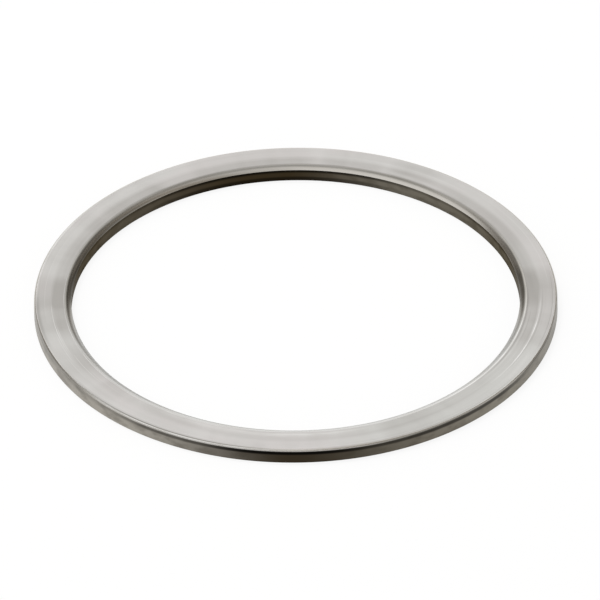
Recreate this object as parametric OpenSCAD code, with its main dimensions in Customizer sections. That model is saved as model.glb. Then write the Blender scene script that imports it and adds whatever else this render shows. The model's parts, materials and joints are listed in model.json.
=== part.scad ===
// Flat metal sealing ring, turned in one piece. It lies on its underside, with its axis
// on Z and the origin at the centre of the underside. Lengths are in millimetres.

/* [Ring] */
// Diameter of the bore
bore_d = 60; // [10:0.5:200]
// Radial width of the ring, from the bore to the rim
ring_w = 5; // [2.5:0.1:20]
// Thickness, from the underside to the upper face
thickness = 2; // [1.4:0.1:6]

/* [Upper edges] */
// Radial width of the soft edge between the upper face and the bore
bore_edge_w = 0.9; // [0.6:0.05:1.2]
// How far that edge drops by the time it meets the bore
bore_edge_h = 0.3; // [0.1:0.05:0.55]
// Radius of the tighter edge between the upper face and the rim
rim_edge_r = 0.27; // [0.1:0.01:0.6]

/* [Underside] */
// Size of the small bevel that takes the burr off both lower edges
burr_bevel = 0.04; // [0.02:0.01:0.3]

/* [Hidden] */

bright_steel = [0.76, 0.75, 0.73];
bore_r = bore_d / 2;
outer_r = bore_r + ring_w;
// How far a cutter runs past the surface that it cuts
cutter_over = 1;
// Facets once round the ring, and once round the circle that an edge is cut from
ring_facets = 240;
edge_facets = 120;

// Radius of the arc that leaves the face level and drops by h over the width w.
function edge_arc_r(w, h) = (w * w + h * h) / (2 * h);

// What a soft edge takes off a square corner. The corner is at the origin, the face
// runs from it towards -X and the wall goes down from it.
module edge_cut(w, h) {
    arc_r = edge_arc_r(w, h);
    difference() {
        translate([-w, -h]) square([w + cutter_over, h + cutter_over]);
        translate([-w, -arc_r]) circle(r = arc_r, $fn = edge_facets);
    }
}

// What a bevel of size c takes off a square corner. The corner is at the origin, the
// underside runs from it towards -X and the wall goes up from it.
module bevel_cut(c) {
    reach = c + cutter_over;
    polygon([[-reach, -cutter_over], [cutter_over, reach], [cutter_over, -cutter_over]]);
}

// Half of the ring's section, from the bore on the left to the rim on the right.
module section() {
    difference() {
        translate([bore_r, 0]) square([ring_w, thickness]);
        translate([outer_r, thickness]) edge_cut(rim_edge_r, rim_edge_r);
        translate([bore_r, thickness]) mirror([1, 0]) edge_cut(bore_edge_w, bore_edge_h);
        translate([outer_r, 0]) bevel_cut(burr_bevel);
        translate([bore_r, 0]) mirror([1, 0]) bevel_cut(burr_bevel);
    }
}

// The whole ring: its section turned once round the axis.
module sealing_ring() {
    color(bright_steel) rotate_extrude($fn = ring_facets) section();
}

sealing_ring();
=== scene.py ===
# %% [markdown]
# A flat metal sealing ring.
# The real one is a single piece of bare steel, turned on a lathe: a face cut flat in fine circles,
# a soft edge that runs down into the bore, a tighter one at the rim, and two plain walls. The
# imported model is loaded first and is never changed. Its dressed form is made from nothing below,
# at sizes that are read from it.

# %% Load the frame
import json
import math

import bpy
import numpy as np
from mathutils import Euler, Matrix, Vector

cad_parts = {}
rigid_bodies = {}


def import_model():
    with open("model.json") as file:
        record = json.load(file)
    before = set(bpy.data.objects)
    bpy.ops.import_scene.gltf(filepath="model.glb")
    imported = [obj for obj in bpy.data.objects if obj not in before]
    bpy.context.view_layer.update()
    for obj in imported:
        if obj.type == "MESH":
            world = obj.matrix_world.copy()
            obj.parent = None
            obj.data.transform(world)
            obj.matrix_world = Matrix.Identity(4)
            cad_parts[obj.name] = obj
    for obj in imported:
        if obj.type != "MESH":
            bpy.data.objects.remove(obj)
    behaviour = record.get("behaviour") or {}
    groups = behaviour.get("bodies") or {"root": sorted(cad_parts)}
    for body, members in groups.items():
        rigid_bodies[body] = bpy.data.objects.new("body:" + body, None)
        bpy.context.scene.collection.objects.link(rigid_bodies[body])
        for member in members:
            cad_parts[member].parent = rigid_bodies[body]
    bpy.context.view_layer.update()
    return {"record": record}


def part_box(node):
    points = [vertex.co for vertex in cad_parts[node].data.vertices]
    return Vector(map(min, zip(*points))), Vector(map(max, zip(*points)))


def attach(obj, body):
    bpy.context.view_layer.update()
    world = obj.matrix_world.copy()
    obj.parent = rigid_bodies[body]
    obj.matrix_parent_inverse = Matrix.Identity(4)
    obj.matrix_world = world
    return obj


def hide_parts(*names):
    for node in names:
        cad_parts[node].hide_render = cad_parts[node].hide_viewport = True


for leftover in list(bpy.data.objects):
    bpy.data.objects.remove(leftover)
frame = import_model()

# %% [markdown]
# The ring lies on its underside with its axis on Z. Its outside radius and its thickness are the
# box of its node, and the bore's radius is in the record's mount. The edges are small forms that
# the box doesn't give, so they are written here as the drawing has them.

# %% Sizes, in metres
MM = 0.001
MICROMETRE = 0.000001
_, ring_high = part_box("sealing_ring")
mounts = {mount["name"]: mount for mount in frame["record"]["mounts"]}
outer_r = ring_high.x
bore_r = mounts["bore"]["dims"]["r_mm"] * MM
thickness = ring_high.z

bore_edge_w = 0.9 * MM
bore_edge_h = 0.3 * MM
rim_edge_r = 0.27 * MM
burr_bevel = 0.04 * MM
face_inner_r = bore_r + bore_edge_w
face_outer_r = outer_r - rim_edge_r
print(f"bore {bore_r / MM:.2f} mm, rim {outer_r / MM:.2f} mm, {thickness / MM:.2f} mm thick")

# %% [markdown]
# The section is drawn as the lathe tool would cut it, once round: along the underside from the
# bore to the rim, up the rim, over its edge, in across the face, over the soft edge and down the
# bore. A Screw modifier on the plain section would do for the form, but the face needs many thin
# rows, because the lines that the tool left on it are real grooves and not only shading. So the
# section is a list of points, and each point becomes a row of the mesh.

# %% Two ways to lay points
def line(start, end, steps):
    """Evenly spaced points from start to end, each a radius and a height, without the last."""
    return np.linspace(start, end, steps + 1)[:-1]


def soft_edge(wall_r, width, drop, side, steps):
    """The arc that leaves the face level and drops to a wall. side is 1 at the rim, -1 at the bore."""
    arc_r = (width**2 + drop**2) / (2 * drop)
    tilt = np.linspace(0, math.atan2(width, arc_r - drop), steps + 1)
    radius = wall_r - side * width + side * arc_r * np.sin(tilt)
    height = thickness - arc_r * (1 - np.cos(tilt))
    return np.stack([radius, height], axis=1)


BORE_EDGE_ROWS = 14
RIM_EDGE_ROWS = 10
bore_arc = soft_edge(bore_r, bore_edge_w, bore_edge_h, -1, BORE_EDGE_ROWS)
rim_arc = soft_edge(outer_r, rim_edge_r, rim_edge_r, 1, RIM_EDGE_ROWS)[::-1]
print("the soft edge drops", round(float(bore_arc[0, 1] - bore_arc[-1, 1]) / MM, 3), "mm")

# %% The section, as stretches of points
FACED, EDGE, BORE, RIM = 0, 1, 2, 3
UNDERSIDE_ROWS = 14
WALL_ROWS = 10
FACE_ROWS = 70
underside_in = (bore_r + burr_bevel, 0)
underside_out = (outer_r - burr_bevel, 0)
rim_low = (outer_r, burr_bevel)
rim_top = (outer_r, thickness - rim_edge_r)
bore_top = (bore_r, thickness - bore_edge_h)
bore_low = (bore_r, burr_bevel)

# each stretch has a name, its points, its finish, and whether it starts at a sharp corner
stretches = [
    ("underside", line(underside_in, underside_out, UNDERSIDE_ROWS), FACED, True),
    ("rim_bevel", line(underside_out, rim_low, 1), RIM, True),
    ("rim_wall", line(rim_low, rim_top, WALL_ROWS), RIM, True),
    ("rim_edge", rim_arc[:-1], EDGE, True),
    ("face", line((face_outer_r, thickness), (face_inner_r, thickness), FACE_ROWS), FACED, False),
    ("bore_edge", bore_arc[:-1], EDGE, False),
    ("bore_wall", line(bore_top, bore_low, WALL_ROWS), BORE, True),
    ("bore_bevel", line(bore_low, underside_in, 1), BORE, True),
]
lengths = [len(points) for _, points, _, _ in stretches]
section = np.concatenate([points for _, points, _, _ in stretches])
row_name = np.repeat([name for name, _, _, _ in stretches], lengths)
row_finish = np.repeat([finish for _, _, finish, _ in stretches], lengths)
row_hard = np.zeros(len(section), bool)
row_hard[np.cumsum(lengths) - lengths] = [hard for _, _, _, hard in stretches]
print(len(section), "points once round the section,", int(row_hard.sum()), "of them sharp corners")

# %% [markdown]
# No turned face is perfect. The tool leaves a few lines that are deeper than the rest, each along
# part of the circle. A bump in the finish would leave the form itself flat, so they are cut into the
# mesh, and later they take painted highlights and painted shade of their own as well. Directions are
# in degrees: 0 is on the right, 90 at the back, 180 on the left, and -90 or 270 at the front. Both ways
# of counting are used.

# %% Tool lines
# radius in mm, depth in micrometres, width in mm, middle of the arc and half its span in degrees,
# and how much the line shines: above 0 it is a painted highlight, below 0 it is painted shade
TOOL_LINES = [
    (32.74, 9, 0.08, -19, 19, 1.0), (32.58, 5, 0.06, -12, 10, 0.5), (32.90, 4, 0.05, -24, 10, -0.3),
    (32.72, 8, 0.08, 191, 14, 0.6), (32.98, 6, 0.06, 200, 7, 0.5), (32.50, 5, 0.06, 197, 8, 0.5),
    (32.22, 4, 0.06, 209, 9, 0.4), (31.90, 4, 0.06, 217, 8, 0.3), (33.30, 3, 0.06, 206, 8, 0.3),
    (31.36, 5, 0.07, -23, 18, 0.4), (31.60, 4, 0.06, -14, 9, -0.3), (31.35, 4, 0.06, -84, 16, 0.3),
    (31.72, 4, 0.07, -98, 20, 0.2), (32.10, 3, 0.06, -32, 16, 0.2), (31.55, 3, 0.06, -48, 14, 0.2),
    (33.60, 3, 0.06, 170, 22, 0.2), (33.90, 3, 0.07, 20, 26, 0.2), (32.40, 3, 0.06, 100, 30, 0.2),
    (33.20, 3, 0.06, 60, 20, 0.2), (34.20, 4, 0.06, 236, 22, 0.2), (34.35, 4, 0.06, -6, 18, -0.4),
    (30.80, 6, 0.12, -31, 34, 1.0), (31.02, 6, 0.10, 200, 42, 0.5),
]
STEPS_ROUND = 640
# the share of half an arc over which a line fades out, and the power that the fade is raised to
LINE_FADE = 0.4
FADE_CURVE = 1.5
angle = np.linspace(0, 2 * math.pi, STEPS_ROUND, endpoint=False)


def arc_window(degrees, half_span):
    """1 along the middle of an arc and 0 past it, fading at both ends."""
    away = (angle - math.radians(degrees) + math.pi) % (2 * math.pi) - math.pi
    inside = 1 - np.abs(away) / math.radians(half_span)
    return np.clip(inside / LINE_FADE, 0, 1) ** FADE_CURVE


def groove_depth(radius):
    """How deep the tool lines cut at this radius, for every step round the ring."""
    depth = np.zeros(STEPS_ROUND)
    for line_r, micrometres, width, middle, half_span, _ in TOOL_LINES:
        across = math.exp(-(((radius - line_r * MM) / (width * MM)) ** 2))
        depth += micrometres * MICROMETRE * across * arc_window(middle, half_span)
    return depth


deepest = max(groove_depth(line_r * MM).max() for line_r, *_ in TOOL_LINES)
print(len(TOOL_LINES), "tool lines, the deepest", round(float(deepest) / MICROMETRE, 1), "micrometres")

# %% [markdown]
# The soft edge was taken off by hand, so its width wanders a little. Random steps would look like
# damage, so three waves of different lengths make the wander, and no rhythm shows in their sum. It
# moves the start of the edge to either side by less than 0.06 mm and leaves the rim alone, and the
# grooves only go into the metal, so the ring stays in the box of the solid that it stands for.

# %% The wander of the soft edge
WANDER = 0.025 * MM
# how many waves go round the ring, how strong they are, and where they start
WANDER_WAVES = [(5, 1.0, 0.7), (11, 0.7, 2.1), (23, 0.5, 4.0)]
edge_wander = WANDER * sum(strength * np.sin(count * angle + start)
                           for count, strength, start in WANDER_WAVES)
print("the edge wanders by up to", round(float(np.abs(edge_wander).max()) / MM, 3), "mm")

# %% Every point of the ring
def turned_points():
    """The place of every vertex, row by row of the section."""
    rows = []
    for (radius, height), name in zip(section, row_name):
        cut = groove_depth(radius) if name == "face" else 0
        from_edge = abs(radius - face_inner_r) / bore_edge_w
        near_edge = max(0, 1 - from_edge) if name in ("face", "bore_edge") else 0
        r = radius + edge_wander * near_edge
        rows.append(np.stack([r * np.cos(angle), r * np.sin(angle),
                              np.full(STEPS_ROUND, height) - cut], axis=1))
    return np.concatenate(rows)


ring_points = turned_points()
print("points reach", round(float(ring_points[:, 0].max()) / MM, 2), "mm from the axis")

# %% [markdown]
# Each point of the section has been carried once round the axis, and now neighbouring rows are
# joined by four-sided faces. Smooth shading alone would smear the walls into the faces, so the
# edges along a row where the real ring has a sharp corner are marked sharp.

# %% Turn the section into a mesh
def turned_mesh(name):
    """The whole skin of the ring, with the number of its finish on each face."""
    rows = len(section)
    row, step = np.meshgrid(np.arange(rows), np.arange(STEPS_ROUND), indexing="ij")
    next_row, next_step = (row + 1) % rows, (step + 1) % STEPS_ROUND
    corners = [row * STEPS_ROUND + step, row * STEPS_ROUND + next_step,
               next_row * STEPS_ROUND + next_step, next_row * STEPS_ROUND + step]
    faces = np.stack([corner.ravel() for corner in corners], axis=1)
    mesh = bpy.data.meshes.new(name)
    mesh.from_pydata(ring_points, [], faces)
    mesh.polygons.foreach_set("material_index", np.repeat(row_finish, STEPS_ROUND))
    mesh.polygons.foreach_set("use_smooth", np.ones(len(faces), bool))
    ends = np.zeros(len(mesh.edges) * 2, int)
    mesh.edges.foreach_get("vertices", ends)
    end_rows = ends.reshape(-1, 2) // STEPS_ROUND
    hard = (end_rows[:, 0] == end_rows[:, 1]) & row_hard[end_rows[:, 0]]
    mesh.attributes.new("sharp_edge", "BOOLEAN", "EDGE").data.foreach_set("value", hard)
    mesh.update()
    return mesh


ring = bpy.data.objects.new("faced_sealing_ring", turned_mesh("faced_sealing_ring"))
bpy.context.scene.collection.objects.link(ring)
print(len(ring.data.vertices), "vertices,", 2 * len(ring.data.polygons), "triangles")

# %% [markdown]
# A ring would waste most of a square picture when its finishes are baked into one, so it is
# unrolled instead: four quarters of the ring, each cut open into a strip, one above another.

# %% Unroll the ring into four strips
STRIPS = 4
STRIP_MARGIN = 0.04


def unroll(mesh):
    """Gives each corner of each face its place on the strips."""
    closed = np.concatenate([section, section[:1]])
    run = np.concatenate([[0], np.cumsum(np.linalg.norm(np.diff(closed, axis=0), axis=1))])
    up = STRIP_MARGIN / 2 + (1 - STRIP_MARGIN) * run / run[-1]
    row, step = np.meshgrid(np.arange(len(section)), np.arange(STEPS_ROUND), indexing="ij")
    strip_steps = STEPS_ROUND // STRIPS
    strip, across = np.divmod(step.ravel(), strip_steps)
    left, right = across / strip_steps, (across + 1) / strip_steps
    low = (strip + up[row.ravel()]) / STRIPS
    high = (strip + up[row.ravel() + 1]) / STRIPS
    corners = [(left, low), (right, low), (right, high), (left, high)]
    places = np.stack([np.stack(corner, axis=1) for corner in corners], axis=1)
    mesh.uv_layers.new(name="OFBake").data.foreach_set("uv", places.ravel())


unroll(ring.data)
print("unrolled into", STRIPS, "strips of", STEPS_ROUND // STRIPS, "steps")

# %% [markdown]
# A finish is a node tree, and most of it is arithmetic. The two classes below keep that short. A
# Signal is a socket that can be added and multiplied like a number, and a Bench is a node tree
# with one method that puts any node on it.

# %% A socket that works like a number
class Signal:
    """The value of a socket, used in sums as if it were a number."""

    def __init__(self, bench, socket):
        self.bench, self.socket = bench, socket

    def other(self, name):
        """Another output of the same node."""
        return Signal(self.bench, self.socket.node.outputs[name])

    def __add__(self, value):
        return self.bench.maths("ADD", self, value)

    def __sub__(self, value):
        return self.bench.maths("SUBTRACT", self, value)

    def __rsub__(self, value):
        return self.bench.maths("SUBTRACT", value, self)

    def __mul__(self, value):
        return self.bench.maths("MULTIPLY", self, value)

    def __truediv__(self, value):
        return self.bench.maths("DIVIDE", self, value)

    def __rtruediv__(self, value):
        return self.bench.maths("DIVIDE", value, self)

    __radd__ = __add__
    __rmul__ = __mul__


print("a signal can be added, subtracted, multiplied and divided")

# %% A bench to put nodes on
class Bench:
    """The node tree of a material or of the world."""

    def __init__(self, owner):
        owner.use_nodes = True
        self.tree = owner.node_tree
        self.tree.nodes.clear()

    def add(self, kind, settings, values, output=0):
        """Puts a node on the tree: its settings first, then its sockets' values or links."""
        made = self.tree.nodes.new("ShaderNode" + kind)
        for name, setting in settings.items():
            setattr(made, name, setting)
        for name, value in values.items():
            if isinstance(value, Signal):
                self.tree.links.new(value.socket, made.inputs[name])
            else:
                made.inputs[name].default_value = value
        return Signal(self, made.outputs[output]) if made.outputs else None

    def maths(self, operation, *values):
        """A Math node on one value or two."""
        return self.add("Math", {"operation": operation}, dict(enumerate(values)))

    def fade(self, value, start, end):
        """0 where value is at start or before it, 1 at end and past it, smooth between them."""
        return self.add("MapRange", {"interpolation_type": "SMOOTHSTEP"},
                        {"Value": value, "From Min": start, "From Max": end})

    def blend(self, share, first, second):
        """A colour that goes from first to second as share goes from 0 to 1."""
        return self.add("Mix", {"data_type": "RGBA"}, {0: share, 6: first, 7: second}, 2)

    def noise(self, place, detail=2.0):
        """Soft noise round 0.5, which changes about once for each step of 1 in its place."""
        return self.add("TexNoise", {"noise_dimensions": "3D"},
                        {"Vector": place, "Scale": 1.0, "Detail": detail})


print("a bench takes any node, and has short ways to fade, blend and make noise")

# %% [markdown]
# Every mark of the lathe runs round the axis, so the finishes are written in the ring's own terms:
# how far from the axis a point is, in which direction, and how high. Noise that is stretched along
# the circle and squeezed across it gives the fine turning marks. A picture of brushed metal would
# show seams and repeats round the ring, and this has neither.

# %% The ring's own coordinates
class RingBench(Bench):
    """The node tree of a finish, with the ring's own coordinates at hand."""

    def __init__(self, name):
        self.material = bpy.data.materials.new(name)
        super().__init__(self.material)
        x = self.add("SeparateXYZ", {}, {"Vector": self.add("TexCoord", {}, {}, "Object")})
        y, self.height = x.other("Y"), x.other("Z")
        self.radius = self.maths("SQRT", x * x + y * y)
        self.east, self.north = x / self.radius, y / self.radius

    def along_circles(self, across, turns, per_mm):
        """A place for noise: turns sets how often it changes round the ring, per_mm how often across."""
        return self.add("CombineXYZ", {}, {"X": self.east * turns, "Y": self.north * turns,
                                           "Z": across * (per_mm / MM)})

    def towards(self, degrees, half_span, full=0):
        """1 up to full degrees from a direction of the ring, fading to 0 at half_span degrees."""
        a = math.radians(degrees)
        facing = self.east * math.cos(a) + self.north * math.sin(a)
        return self.fade(facing, math.cos(math.radians(half_span)), math.cos(math.radians(full)))


print("finishes are written by radius, height and direction")

# %% [markdown]
# Some stretches of the ring carry painted highlights, where the metal catches a glint, and others
# painted shade, above all along the seams where the face meets its edges. They could be painted on
# by hand, but a row of numbers for each is easier to mend. Such a band has no depth, and it is soft
# to both sides and to both ends. The tool lines join them here: their grooves are real, their shine
# along each arc is a painted highlight, and their dullness is painted shade. The face has dull
# patches as well, which run straight outwards, partly the metal's own and partly painted shade where
# the face's sheen dips.

# %% Bands and patches
# radius and width in mm, middle of the band and half its span in degrees, and its shine as above:
# above 0 a painted highlight, below 0 painted shade
SOFT_EDGE_BANDS = [
    (30.78, 0.48, 90, 116, -0.80), (30.40, 0.50, 84, 34, -0.08), (30.74, 0.34, 90, 24, 0.13),
    (30.55, 0.42, 6, 44, -0.35), (30.12, 0.32, 15, 26, -0.47), (30.42, 0.34, 2, 13, -0.50),
    (30.12, 0.34, 5, 12, -0.50), (30.60, 0.20, 13, 16, -0.35), (30.66, 0.36, 172, 40, -0.62),
    (30.12, 0.34, 156, 32, -0.82), (30.40, 0.40, 177, 12, -0.50), (30.12, 0.34, 173, 12, -0.55),
    (30.68, 0.30, 152, 16, 0.08), (30.30, 0.30, 258, 66, -0.40), (30.80, 0.40, -152, 26, -0.10),
]
FACE_BANDS = [
    (31.08, 0.14, -18, 24, -0.40), (31.00, 0.16, -116, 14, 0.45), (31.38, 0.60, -98, 34, 0.27),
    (31.55, 0.60, 14, 16, -0.10), (31.50, 0.60, 58, 14, 0.20), (31.45, 0.60, 156, 20, -0.11),
    (32.36, 0.16, -12, 16, -0.12), (32.60, 0.70, -80, 45, -0.07), (32.72, 0.16, -20, 20, 0.40),
    (33.02, 0.14, -10, 16, -0.22), (33.60, 1.00, 135, 12, 0.15), (33.90, 0.80, -27, 16, 0.15),
    (33.90, 0.90, 60, 12, -0.10),
]
RIM_EDGE_BANDS = [
    (34.52, 0.20, -125, 34, -0.15), (34.52, 0.20, -45, 16, -0.15), (34.55, 0.40, 188, 13, -0.30),
    (34.66, 0.20, -68, 24, -0.30), (34.74, 0.30, 160, 24, 0.50), (34.76, 0.20, 238, 34, -0.80),
    (34.76, 0.16, 16, 16, 0.35), (34.80, 0.11, 202, 32, 0.65), (34.82, 0.13, -36, 46, 0.70),
    (34.91, 0.15, 246, 33, 0.75), (34.95, 0.12, -12, 22, -0.80), (34.97, 0.18, 205, 30, -0.80),
    (34.99, 0.11, -44, 38, -0.90),
]
line_bands = [(line_r, width, middle, half_span, shine)
              for line_r, _, width, middle, half_span, shine in TOOL_LINES]
bands = line_bands + SOFT_EDGE_BANDS + FACE_BANDS + RIM_EDGE_BANDS

# middle and half span in degrees, and how dull the patch is, partly the metal's own and partly
# painted shade where the face's sheen dips
PATCHES = [
    (3, 10, 1.0), (-13, 12, 0.35), (177, 8, 0.95), (187, 10, 0.6), (47, 8, 0.3), (72, 5, 0.3),
    (80, 4, 0.3), (99, 6, 0.4), (112, 4, 0.2), (128, 6, 0.3), (138, 7, 0.3), (147, 4, 0.3),
    (-62, 9, 0.35), (-76, 5, 0.2), (-101, 6, 0.2), (238, 10, 0.4), (220, 5, 0.3), (205, 7, 0.4),
    (60, 8, 0.5), (91, 7, 0.4), (30, 12, 0.35), (106, 5, 0.3), (210, 6, 0.3), (-47, 14, 0.15),
]
print(len(bands), "bands and lines,", len(PATCHES), "patches")

# %% Masks for the bands and patches
def total(signals):
    """The sum of some signals."""
    result = signals[0]
    for signal in signals[1:]:
        result = result + signal
    return result


def painted_glints_and_shade(bench):
    """Where highlights and where shade are painted on the metal, a little ragged along the circles."""
    ragged = bench.fade(bench.noise(bench.along_circles(bench.radius, 8.0, 0.6), 1.0), 0.36, 0.60)
    glints, shades = [], []
    for band_r, width, middle, half_span, shine in bands:
        away = bench.maths("ABSOLUTE", bench.radius - band_r * MM)
        mask = bench.fade(away, width * MM, 0) * bench.towards(middle, half_span)
        (glints if shine > 0 else shades).append(mask * abs(shine))
    return total(glints) * (ragged * 0.5 + 0.5), total(shades) * (ragged * 0.1 + 0.9)


def dull_and_shaded_patches(bench):
    """How dull the face is in each direction, partly painted shade where its sheen dips."""
    return total([bench.towards(middle, half_span) * strength
                  for middle, half_span, strength in PATCHES])


print("masks ready")

# %% [markdown]
# Each finish ends in the same way: bare metal with a colour, a roughness and a very fine relief. A
# metal takes nearly all its look from what it mirrors, so its colour stays light and nearly grey.

# %% Bare metal
# the colours of the painted highlights and of the painted shade in the bands
GLINT_WHITE = (0.93, 0.92, 0.90, 1)
SHADE_GREY = (0.16, 0.15, 0.13, 1)


def with_painted_bands(bench, plain, glints, shades):
    """A plain colour with its painted shade, and its painted highlights over it."""
    return bench.blend(glints, bench.blend(shades, plain, SHADE_GREY), GLINT_WHITE)


def bare_metal(bench, colour, roughness, relief, relief_height, fixed):
    """The surface of the finish, joined to the material's output. fixed are its even values."""
    normal = bench.add("Bump", {}, {"Strength": 1.0, "Distance": relief_height, "Height": relief})
    varied = {"Base Color": colour, "Roughness": roughness, "Normal": normal}
    shader = bench.add("BsdfPrincipled", {}, {"Metallic": 1.0, **varied, **fixed})
    bench.add("OutputMaterial", {}, {"Surface": shader})
    return bench.material


print("bare metal ready")

# %% [markdown]
# The faced steel covers the upper face and the underside. Fine circles scatter the light across
# themselves and not along themselves, so the shader's highlight is stretched outwards from the axis.
# One even grey would look like paint, so soft streaks that run straight out from the bore show where
# the metal takes the light a little differently, and the hue drifts between two close greys. The
# bands and lines are on the upper face only, because the underside isn't seen and is left plain.

# %% Faced steel
FACED_BRIGHT = (0.645, 0.632, 0.610, 1)
FACED_ROSY = (0.649, 0.623, 0.606, 1)
FACED_GREY = (0.641, 0.641, 0.614, 1)
FACED_DULL = (0.445, 0.429, 0.405, 1)


def face_hue(bench):
    """The face's clean colour, which is a colder grey in two stretches of the front."""
    drift = bench.noise(bench.along_circles(bench.radius, 3.5, 0.25))
    tinted = bench.blend(bench.fade(drift, 0.35, 0.65), FACED_BRIGHT, FACED_ROSY)
    grey = bench.towards(-47, 42, 12) * 0.8 + bench.towards(-165, 20, 6) * 0.5
    return bench.blend(grey, tinted, FACED_GREY)


def faced_steel():
    bench = RingBench("faced_steel")
    streaks = bench.noise(bench.along_circles(bench.radius, 7.0, 0.10))
    circles = bench.noise(bench.along_circles(bench.radius, 2.6, 7.0), 3.0)
    lines = bench.noise(bench.along_circles(bench.radius, 1.8, 2.4))
    # the inner half is a little duller, and most of all at the back
    inner = bench.fade(bench.radius, 33.0 * MM, 32.2 * MM)
    back = bench.fade(bench.north, -0.45, 0.2)
    # the patches are partly painted shade, where the face's sheen dips at the left and right
    dull = (bench.fade(streaks, 0.45, 0.75) * 0.22 + bench.fade(lines, 0.5, 0.8) * 0.10
            + inner * (back * 0.25 + 0.15) + dull_and_shaded_patches(bench) * (inner * 0.25 + 0.46))
    upper = bench.fade(bench.height, 0, thickness)
    # painted highlights and painted shade of the bands, on the upper face only
    glints, shades = [mask * upper for mask in painted_glints_and_shade(bench)]
    plain = bench.blend(dull, face_hue(bench), FACED_DULL)
    return bare_metal(bench, with_painted_bands(bench, plain, glints, shades), 0.26 + circles * 0.10,
                      circles * 0.6 + lines * 0.4, 3.5 * MICROMETRE,
                      {"Anisotropic": 0.5, "Anisotropic Rotation": 0.25})


ring.data.materials.append(faced_steel())
print("finish", FACED, ring.data.materials[FACED].name)

# %% [markdown]
# The soft edges were taken off with a finer tool and carry less texture. They are warmer than the
# face, apart from the front of the bore's edge, which is a cold grey. The rim's edge runs down into
# a dark lip of painted shade where the wall begins. It is nearly black at the front and thins out to
# each side. The lip could be a groove, but it is only shade, so it is a painted mask.

# %% Edge steel
EDGE_BRIGHT = (0.675, 0.646, 0.600, 1)
EDGE_FRONT = (0.668, 0.670, 0.658, 1)
EDGE_DULL = (0.53, 0.50, 0.45, 1)
# the black of the painted shade in the lip under the rim's edge and along the walls' ends
SHADE_BLACK = (0.003, 0.0025, 0.002, 1)


def lip_shade_share(bench):
    """How dark the painted shade of the lip under the rim's edge is in each direction."""
    return (bench.towards(-80, 60, 38) * 0.62 + bench.towards(-92, 21, 4) * 0.36
            + bench.towards(-52, 24, 6) * 0.14)


def edge_steel():
    bench = RingBench("edge_steel")
    scuffs = bench.noise(bench.along_circles(bench.radius, 6.0, 2.0), 1.5)
    near_bore = bench.fade(bench.radius, outer_r - 1 * MM, bore_r + 1 * MM)
    clean = bench.blend(bench.fade(bench.north, 0.1, -0.4) * near_bore, EDGE_BRIGHT, EDGE_FRONT)
    plain = bench.blend(bench.fade(scuffs, 0.4, 0.7) * 0.16 + 0.22, clean, EDGE_DULL)
    # painted highlights and painted shade of the bands
    marked = with_painted_bands(bench, plain, *painted_glints_and_shade(bench))
    # painted shade in the lip, on the lower part of the rim's edge
    below_face = bench.fade(bench.height, thickness - 0.12 * MM, thickness - 0.26 * MM)
    at_rim = bench.fade(bench.radius, outer_r - 0.3 * MM, outer_r - 0.2 * MM)
    lip_shaded = bench.blend(below_face * at_rim * lip_shade_share(bench), marked, SHADE_BLACK)
    return bare_metal(bench, lip_shaded, 0.22 + scuffs * 0.08, scuffs, 1.2 * MICROMETRE, {})


ring.data.materials.append(edge_steel())
print("finish", EDGE, ring.data.materials[EDGE].name)

# %% [markdown]
# The walls were left as turned and are duller than the face, with a warm tint, and their colour is
# darker, with light and shade painted into it. They are darkest along their ends, which is painted
# shade where they meet the edges and the floor. The bore and the rim have the same finish in other
# tones, so one function makes both, and each wall brings its own painted tone and its own shaded
# ends. A clean metal turns white at a flat angle, and the tint at a flat angle stops that on the
# darker bore.

# %% Wall steel
# the dark of the walls' blotches, and of the painted shade at the front of the rim
WALL_BLOTCH_AND_SHADE = (0.0365, 0.0280, 0.0172, 1)


def wall_steel(name, painted_tone_of, end_shade_of, flat_tint):
    """The walls' finish. The first function gives its colour, with light and shade painted in, and the
    second how dark the painted shade at its ends is.
    """
    bench = RingBench(name)
    blotches = bench.noise(bench.along_circles(bench.height, 16.0, 1.1), 3.0)
    rings = bench.noise(bench.along_circles(bench.height, 3.0, 5.0), 3.0)
    blotched = bench.blend(bench.fade(blotches, 0.40, 0.70) * 0.32, painted_tone_of(bench), WALL_BLOTCH_AND_SHADE)
    # painted shade along the walls' ends
    colour = bench.blend(end_shade_of(bench), blotched, SHADE_BLACK)
    return bare_metal(bench, colour, 0.34 + rings * 0.1, rings, 6 * MICROMETRE,
                      {"Specular Tint": flat_tint})


print("wall finish ready")

# %% [markdown]
# The bore's wall is seen behind the opening, dark brown at the back and lighter to both sides. The
# tones could be left to the light, but an upright wall that is seen from above mirrors the pale
# floor wherever it stands, so they are written into the metal: the dark back is painted shade.

# %% The bore
BORE_SHADE = (0.0370, 0.0262, 0.0130, 1)
BORE_LIGHT = (0.176, 0.160, 0.130, 1)
BORE_FLAT_TINT = (0.4, 0.38, 0.35, 1)


def bore_tone_and_shade(bench):
    """Dark at the back with painted shade, lighter to both sides, and light at the front."""
    sides = bench.fade(bench.east, -0.05, 0.5) * 0.88 + bench.fade(bench.east, -0.2, -1.0) * 0.58
    light = bench.maths("MAXIMUM", sides, bench.fade(bench.north, 0.1, -0.4))
    return bench.blend(light, BORE_SHADE, BORE_LIGHT)


def bore_end_shade(bench):
    """How dark the painted shade at the top and the foot of the wall is. Both are darkest at the back.
    """
    top = bench.fade(bench.height, thickness - 0.85 * MM, thickness - 0.50 * MM)
    foot = bench.fade(bench.height, 0.80 * MM, 0.45 * MM)
    return (top * (bench.towards(95, 43, 6) * 0.55 + bench.towards(24, 24, 8) * 0.16 + 0.30)
            + foot * (bench.towards(97, 38, 4) * 0.60 + 0.10))


ring.data.materials.append(wall_steel("bore_steel", bore_tone_and_shade, bore_end_shade, BORE_FLAT_TINT))
print("finish", BORE, ring.data.materials[BORE].name)

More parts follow.
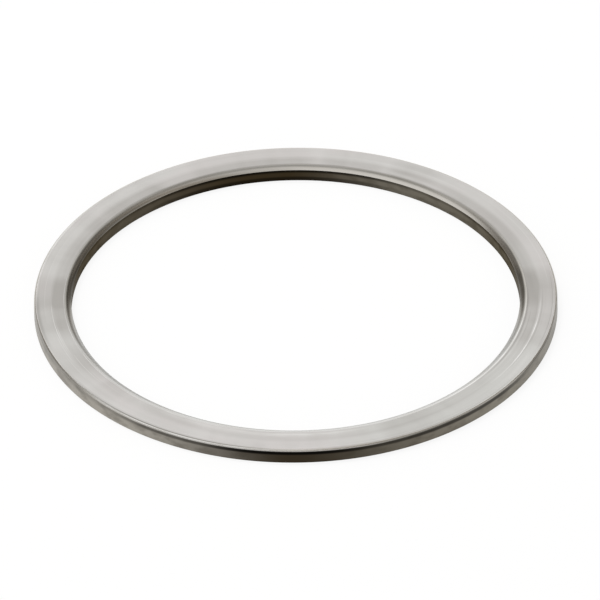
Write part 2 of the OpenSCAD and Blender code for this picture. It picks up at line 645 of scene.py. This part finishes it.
# %% [markdown]
# The rim's wall mirrors the floor in the same way, so its tones are in the metal too, as painted
# shade and painted light. It is dark at the front, where the camera sees most of it, and lighter to
# both sides. The painted shade of its edge's lip goes on down the wall for a little, which keeps the
# two finishes from meeting in a hard line.

# %% The rim
RIM_LIGHT = (0.230, 0.211, 0.173, 1)
# painted light from the left, on the rim's left side
RIM_LEFT_LIT = (0.378, 0.354, 0.312, 1)
RIM_FLAT_TINT = (1, 1, 1, 1)


def rim_tone_and_shade(bench):
    """Painted shade at the front, lighter to the right and at the back, and lightest on the left, where
    light is painted.
    """
    right, back = bench.fade(bench.east, -0.02, 0.8), bench.fade(bench.north, -0.1, 0.4)
    plain = bench.blend(bench.maths("MAXIMUM", right, back), WALL_BLOTCH_AND_SHADE, RIM_LIGHT)
    return bench.blend(bench.fade(bench.east, -0.03, -0.72), plain, RIM_LEFT_LIT)


def rim_end_shade(bench):
    """How dark the painted shade at the top of the wall is: the lip, and a wider soft shade on the left
    front.
    """
    lip = bench.fade(bench.height, thickness - 0.85 * MM, thickness - 0.58 * MM)
    shade = bench.fade(bench.height, thickness - 1.2 * MM, thickness - 0.4 * MM)
    return lip * lip_shade_share(bench) + shade * bench.towards(205, 36, 8) * 0.27


ring.data.materials.append(wall_steel("rim_steel", rim_tone_and_shade, rim_end_shade, RIM_FLAT_TINT))
print("finish", RIM, ring.data.materials[RIM].name)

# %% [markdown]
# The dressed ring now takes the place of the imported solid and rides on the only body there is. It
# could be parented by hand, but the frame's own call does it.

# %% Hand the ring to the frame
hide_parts("sealing_ring")
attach(ring, "root")
print("finishes:", [material.name for material in ring.data.materials])

# %% [markdown]
# The floor is a plain pale sheet. What the camera and the metal see of it is nearly white, as the
# photograph's ground is, and the rest of it is ordinary matt paint. A pure white glow would be
# simpler, but it would lose the ring's shadow.

# %% Floor
WHITE = (1, 1, 1, 1)
FLOOR_SIDE = 6.0
# the floor lies a hair below the ring, so that the two never share a plane
FLOOR_GAP = 20 * MICROMETRE
FLOOR_PAINT = (0.93, 0.93, 0.93, 1)
WHITE_SHARE = 0.85


def white_for_eyes(bench):
    """1 for rays that come from the camera, a reflection or glass."""
    camera_ray = bench.add("LightPath", {}, {}, "Is Camera Ray")
    mirrored = bench.maths("MAXIMUM", camera_ray, camera_ray.other("Is Glossy Ray"))
    return bench.maths("MAXIMUM", mirrored, camera_ray.other("Is Transmission Ray"))


def floor_material():
    material = bpy.data.materials.new("pale_floor")
    bench = Bench(material)
    paint = bench.add("BsdfDiffuse", {}, {"Color": FLOOR_PAINT})
    glow = bench.add("Emission", {}, {"Color": WHITE, "Strength": 1.0})
    mixed = bench.add("MixShader", {}, {0: white_for_eyes(bench) * WHITE_SHARE, 1: paint, 2: glow})
    bench.add("OutputMaterial", {}, {"Surface": mixed})
    return material


floor_mesh = bpy.data.meshes.new("floor")
half_side = FLOOR_SIDE / 2
floor_corners = [(x * half_side, y * half_side, -FLOOR_GAP)
                 for x, y in ((-1, -1), (1, -1), (1, 1), (-1, 1))]
floor_mesh.from_pydata(floor_corners, [], [(0, 1, 2, 3)])
floor = bpy.data.objects.new("floor", floor_mesh)
floor.data.materials.append(floor_material())
bpy.context.scene.collection.objects.link(floor)
print("floor", FLOOR_SIDE, "m wide")

# %% [markdown]
# Bare metal shows what stands round it, so the light is laid out as a small studio in the world
# itself: a bright backdrop behind the ring, which its face mirrors, the floor's sweep below it, a
# soft roof, a lamp high on the right and a dimmer fill in front, which the face mirrors when it is
# seen from behind. Lamps of Blender's own would need big cards to be mirrored in, and those would
# stand in the way of other views. The backdrop is about as bright as white paper.

# %% World
SWEEP_LEVEL = 0.6
ROOF_LEVEL = 0.8
SIDE_LEVEL = 0.45
FRONT_LEVEL = 0.78
AMBIENT = 0.12
DARK_ROOM = (1.0, 0.88, 0.72, 1)


def studio_level(bench):
    """How bright the studio is in each direction."""
    x = bench.add("SeparateXYZ", {}, {"Vector": bench.add("TexCoord", {}, {}, "Generated")})
    y, z = x.other("Y"), x.other("Z")
    # degrees up from the floor behind the ring: 90 is straight up, and 180 the floor in front
    over = bench.maths("ARCTAN2", z, y) * (180 / math.pi)
    backdrop = bench.fade(over, 60, 44) * bench.fade(x, 0.24, 0.08) * bench.fade(x, -0.36, -0.12)
    sweep = bench.fade(z, 0.55, 0.25) * bench.fade(y, -0.5, 0.0)
    roof = bench.fade(over, 45, 65) * bench.fade(over, 136, 116) * bench.fade(x, 0.64, -0.15)
    side = bench.fade(x, 0.45, 0.65) * bench.fade(over, 42, 60) * bench.fade(over, 150, 125)
    front = bench.fade(z, 0.68, 0.45) * bench.fade(z, 0.03, 0.18) * bench.fade(y, -0.3, -0.65)
    return (bench.maths("MAXIMUM", backdrop, sweep * SWEEP_LEVEL) + roof * ROOF_LEVEL
            + side * SIDE_LEVEL + front * FRONT_LEVEL + AMBIENT)


def studio_world():
    world = bpy.data.worlds.new("studio")
    bench = Bench(world)
    level = studio_level(bench)
    # what is dark in the studio is also warm
    colour = bench.blend(bench.fade(level, 0.1, 0.7), DARK_ROOM, WHITE)
    light = bench.add("Background", {}, {"Color": colour, "Strength": level})
    bench.add("OutputWorld", {}, {"Surface": light})
    return world


bpy.context.scene.world = studio_world()
print("studio with", len(bpy.context.scene.world.node_tree.nodes), "nodes")

# %% [markdown]
# A wide soft lamp hangs over the floor and gives the ring its soft contact shadow. It isn't
# mirrored, because the metal takes all its brightness from the studio round it.

# %% Lamp over the floor
LAMP_PLACE = (-0.25, 0.2, 1.2)
LAMP_WIDTH = 0.8
LAMP_WATTS = 8.0


def floor_lamp():
    data = bpy.data.lights.new("floor_lamp", "AREA")
    data.shape, data.size, data.energy = "DISK", LAMP_WIDTH, LAMP_WATTS
    made = bpy.data.objects.new("floor_lamp", data)
    made.location = LAMP_PLACE
    made.visible_glossy = False
    bpy.context.scene.collection.objects.link(made)
    return made


lamp = floor_lamp()
print("lamp", round(lamp.location.z, 2), "m over the floor")

# %% [markdown]
# The photograph was taken from far away with a long lens: its ellipses are almost exact. The camera
# stands a hundred outside radii from the ring, 35.5 degrees above the floor and a little rolled. An
# orthographic camera would come close too, but a long lens keeps the last bit of perspective.

# %% Camera
CAMERA_RADII = 100
ELEVATION = math.radians(35.461)
ROLL = math.radians(-0.646)
# the point that the camera looks at, in outside radii from the ring's centre
AIM_RIGHT, AIM_BACK = 0.01632, 0.06377
# the lens and its sensor's width, in millimetres
LENS, SENSOR = 1569.2, 36.0
NEAREST, FURTHEST = 0.1, 20


def long_lens():
    data = bpy.data.cameras.new("long_lens")
    data.lens, data.sensor_width = LENS, SENSOR
    data.clip_start, data.clip_end = NEAREST, FURTHEST
    camera = bpy.data.objects.new("long_lens", data)
    aim = Vector((AIM_RIGHT * outer_r, AIM_BACK * outer_r, 0))
    backwards = Vector((0, -math.cos(ELEVATION), math.sin(ELEVATION)))
    camera.location = aim + backwards * (CAMERA_RADII * outer_r)
    look = Euler((math.pi / 2 - ELEVATION, 0, 0)).to_quaternion()
    camera.rotation_mode = "QUATERNION"
    camera.rotation_quaternion = look @ Euler((0, 0, ROLL)).to_quaternion()
    bpy.context.scene.collection.objects.link(camera)
    return camera


bpy.context.scene.camera = long_lens()
bpy.context.scene.view_settings.view_transform = "Standard"
print("camera at", tuple(round(c, 3) for c in bpy.context.scene.camera.location))

# %% [markdown]
# The last step brings the scene up to date and closes it.

# %% The end
bpy.context.view_layer.update()
